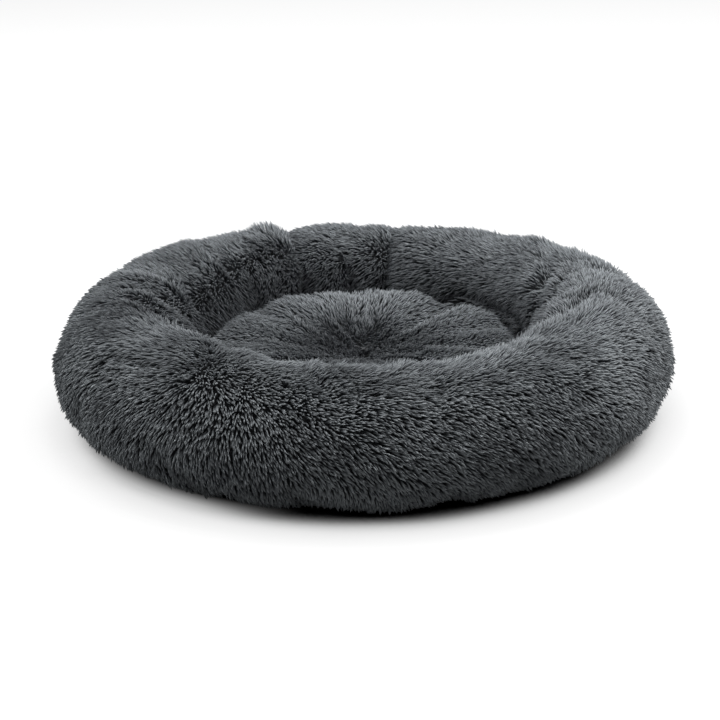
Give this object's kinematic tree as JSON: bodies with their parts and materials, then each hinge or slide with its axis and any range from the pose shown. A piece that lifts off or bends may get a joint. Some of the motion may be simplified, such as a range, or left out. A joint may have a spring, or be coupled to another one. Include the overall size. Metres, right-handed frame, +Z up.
{
  "type": "donut pet bed",
  "caption": "Round plush pet bed: a stuffed ring bolster sewn round a soft cushion that is tufted at its centre, on a non-slip base cloth.",
  "frame": {"origin": "centre of the bed on the floor, under the grip dots", "axes": "+Z up; -Y towards the viewer of the picture, the side here called the front; +X to the right seen from the front"},
  "size_m": [0.7, 0.7, 0.1498],
  "materials": {
    "charcoal_plush": "long-pile faux fur, matte with a soft sheen",
    "polyester_fibre": "loose siliconised fibre, matte",
    "black_oxford_cloth": "coated plain-weave cloth with moulded grip dots",
    "grey_twine": "twisted waxed twine"
  },
  "bodies": {
    "root": {"bolster_cover_left": "charcoal_plush", "bolster_cover_right": "charcoal_plush", "bolster_fill": "polyester_fibre", "cushion_cover": "charcoal_plush", "cushion_fill": "polyester_fibre", "base_cloth": "black_oxford_cloth", "tuft_tie": "grey_twine"}
  },
  "joints": []
}
